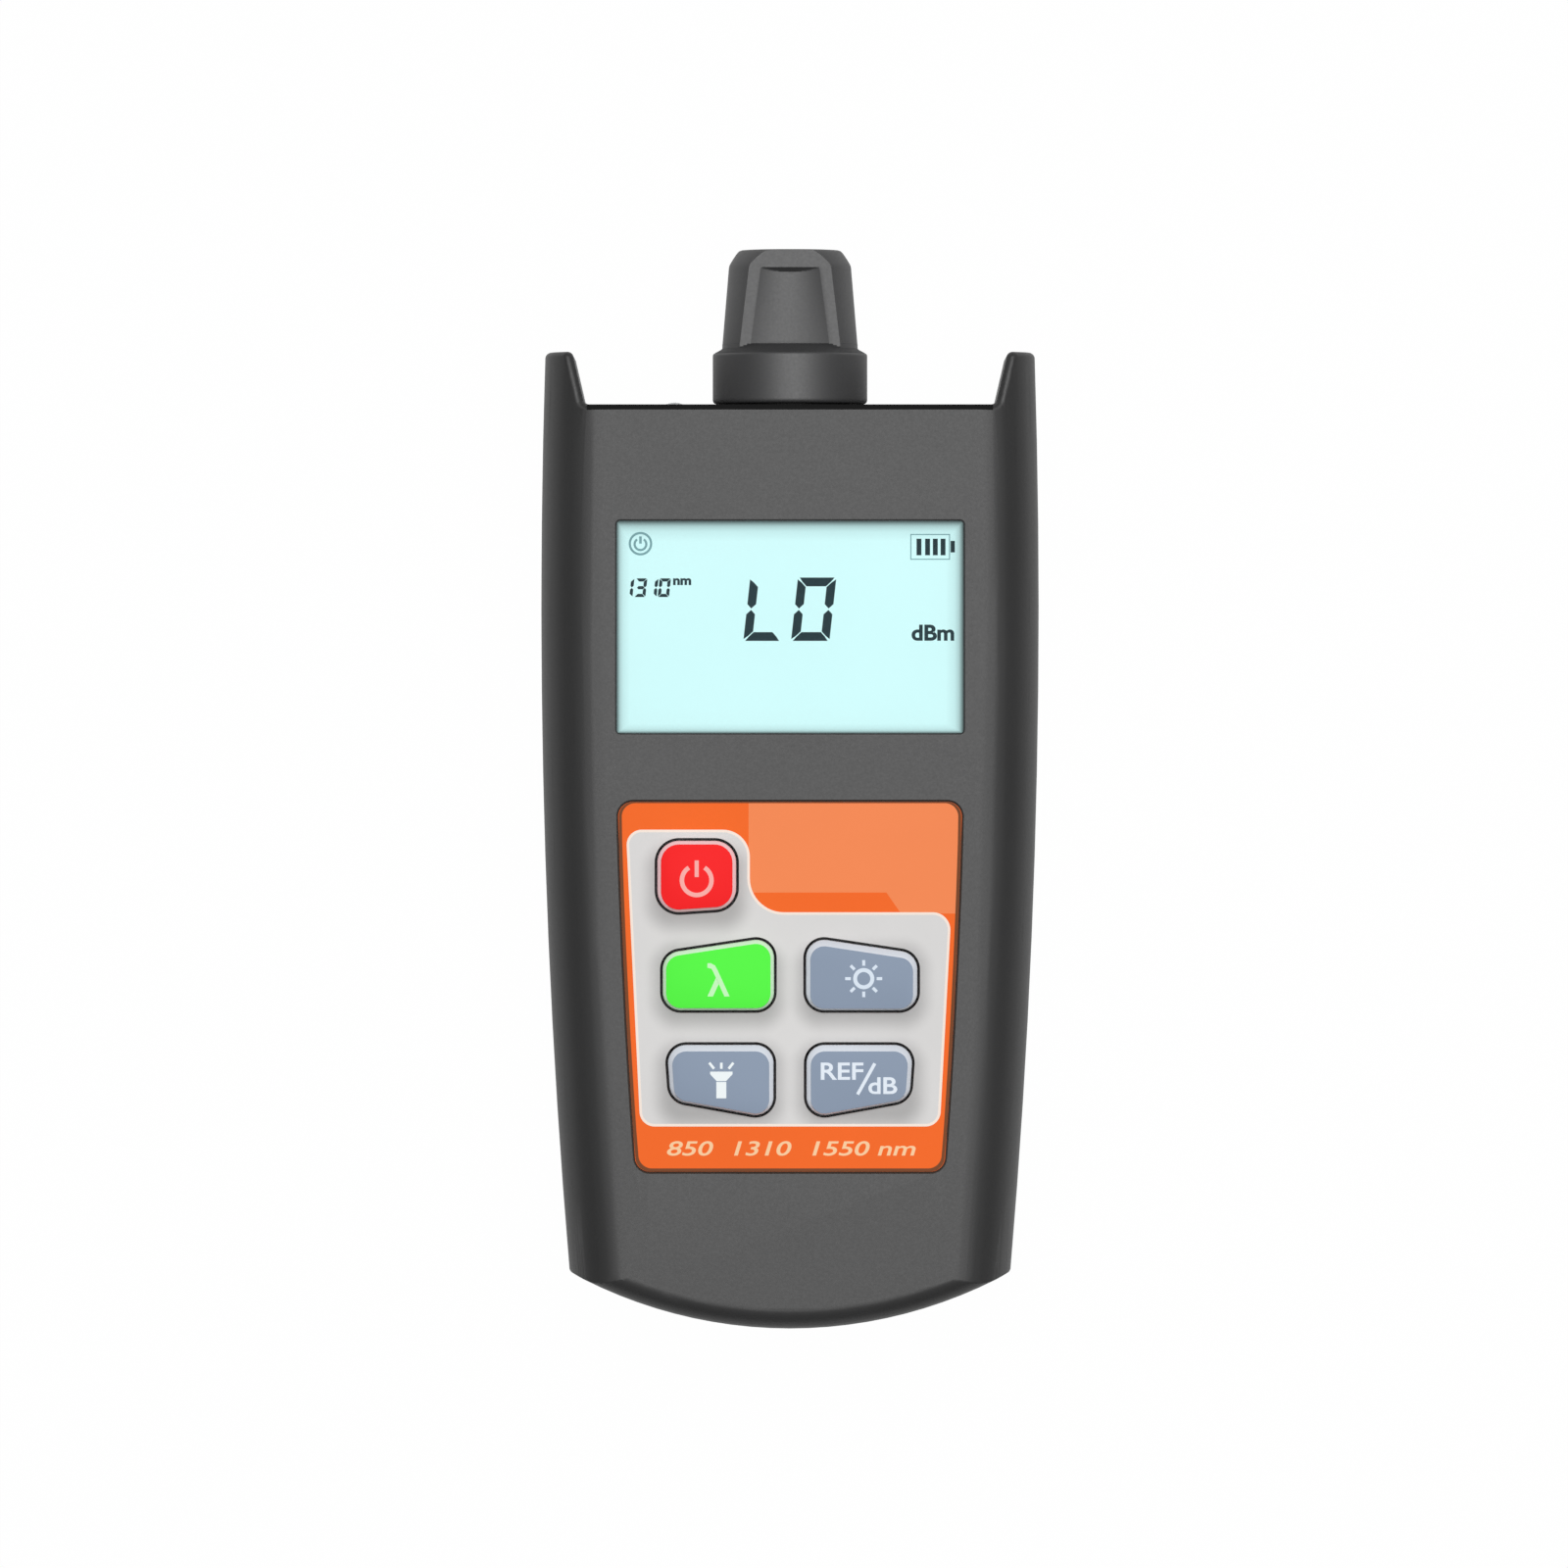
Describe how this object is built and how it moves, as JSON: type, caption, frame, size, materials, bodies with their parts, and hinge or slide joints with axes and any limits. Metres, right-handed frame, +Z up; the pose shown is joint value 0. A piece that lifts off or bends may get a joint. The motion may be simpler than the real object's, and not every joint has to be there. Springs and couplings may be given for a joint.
{
  "type": "optical power meter",
  "caption": "Pocket optical power meter lying on its back: bowed grey case with guard horns, lit display, rubber keys, capped fibre port and slide-off battery door.",
  "frame": {"origin": "centre of the bounding box's footprint, on the table under the back of the case", "axes": "+X to the right across the front face, +Y from the tail to the fibre port, +Z up out of the front face, with the meter on its back"},
  "size_m": [0.058, 0.1258, 0.0292],
  "materials": {
    "case_plastic": "fine matte grain",
    "cap_rubber": "satin",
    "lens": "clear acrylic",
    "lcd": "lit pale cyan with dark segments",
    "backlight_block": "white light guide",
    "frame_plastic": "plain",
    "black_rubber": "plain",
    "label_film": "printed orange and pale grey film",
    "keypad_rubber": "translucent grey",
    "key_red": "satin lacquer with pale rim",
    "key_green": "satin lacquer with pale rim",
    "key_grey": "satin lacquer with pale rim",
    "board": "green solder mask",
    "package": "moulded",
    "steel": "plated",
    "nickel": "turned and nickel plated",
    "lamp": "clear lamp resin",
    "cell": "plain printed sleeve"
  },
  "bodies": {
    "housing": {"front_shell": "case_plastic", "rear_shell": "case_plastic", "lcd_window": "lens", "lcd_panel": "lcd", "lcd_backlight": "backlight_block", "lcd_frame": "frame_plastic", "zebra_strip": "black_rubber", "keypad_label": "label_film", "keypad_mat": "keypad_rubber", "power_web": "keypad_rubber", "wavelength_web": "keypad_rubber", "backlight_web": "keypad_rubber", "torch_web": "keypad_rubber", "reference_web": "keypad_rubber", "main_board": "board", "processor_chip": "package", "converter_chip": "package", "clock_crystal": "steel", "detector_barrel": "nickel", "universal_adapter": "nickel", "barrel_gasket": "black_rubber", "photodiode": "steel", "torch_led": "lamp", "battery_cell_1": "cell", "battery_cell_2": "cell", "battery_cell_3": "cell", "battery_plate_terminal": "steel", "battery_spring_terminal": "steel", "battery_link_tail": "steel", "battery_link_nose": "steel", "case_screw_1": "steel", "case_screw_2": "steel", "case_screw_3": "steel", "case_screw_4": "steel", "board_screw_1": "steel", "board_screw_2": "steel", "board_screw_3": "steel", "board_screw_4": "steel"},
    "power_button": {"power_key": "key_red", "power_pill": "black_rubber"},
    "wavelength_button": {"wavelength_key": "key_green", "wavelength_pill": "black_rubber"},
    "backlight_button": {"backlight_key": "key_grey", "backlight_pill": "black_rubber"},
    "torch_button": {"torch_key": "key_grey", "torch_pill": "black_rubber"},
    "reference_button": {"reference_key": "key_grey", "reference_pill": "black_rubber"},
    "cap": {"dust_cap": "cap_rubber"},
    "door": {"battery_door": "case_plastic"}
  },
  "joints": [
    {"name": "power_press", "type": "slide", "parent": "housing", "child": "power_button", "axis": [0, 0, -1], "range_m": [0, 0.0008], "stiffness_N_per_m": 600, "springref_m": -0.001, "deforming": ["power_web"]},
    {"name": "wavelength_press", "type": "slide", "parent": "housing", "child": "wavelength_button", "axis": [0, 0, -1], "range_m": [0, 0.0008], "stiffness_N_per_m": 600, "springref_m": -0.001, "deforming": ["wavelength_web"]},
    {"name": "backlight_press", "type": "slide", "parent": "housing", "child": "backlight_button", "axis": [0, 0, -1], "range_m": [0, 0.0008], "stiffness_N_per_m": 600, "springref_m": -0.001, "deforming": ["backlight_web"]},
    {"name": "torch_press", "type": "slide", "parent": "housing", "child": "torch_button", "axis": [0, 0, -1], "range_m": [0, 0.0008], "stiffness_N_per_m": 600, "springref_m": -0.001, "deforming": ["torch_web"]},
    {"name": "reference_press", "type": "slide", "parent": "housing", "child": "reference_button", "axis": [0, 0, -1], "range_m": [0, 0.0008], "stiffness_N_per_m": 600, "springref_m": -0.001, "deforming": ["reference_web"]},
    {"name": "dust_cap_pull", "type": "slide", "parent": "housing", "child": "cap", "axis": [0, 1, 0], "range_m": [0, 0.06]},
    {"name": "battery_door_slide", "type": "slide", "parent": "housing", "child": "door", "axis": [0, -1, 0], "range_m": [0, 0.06]}
  ]
}
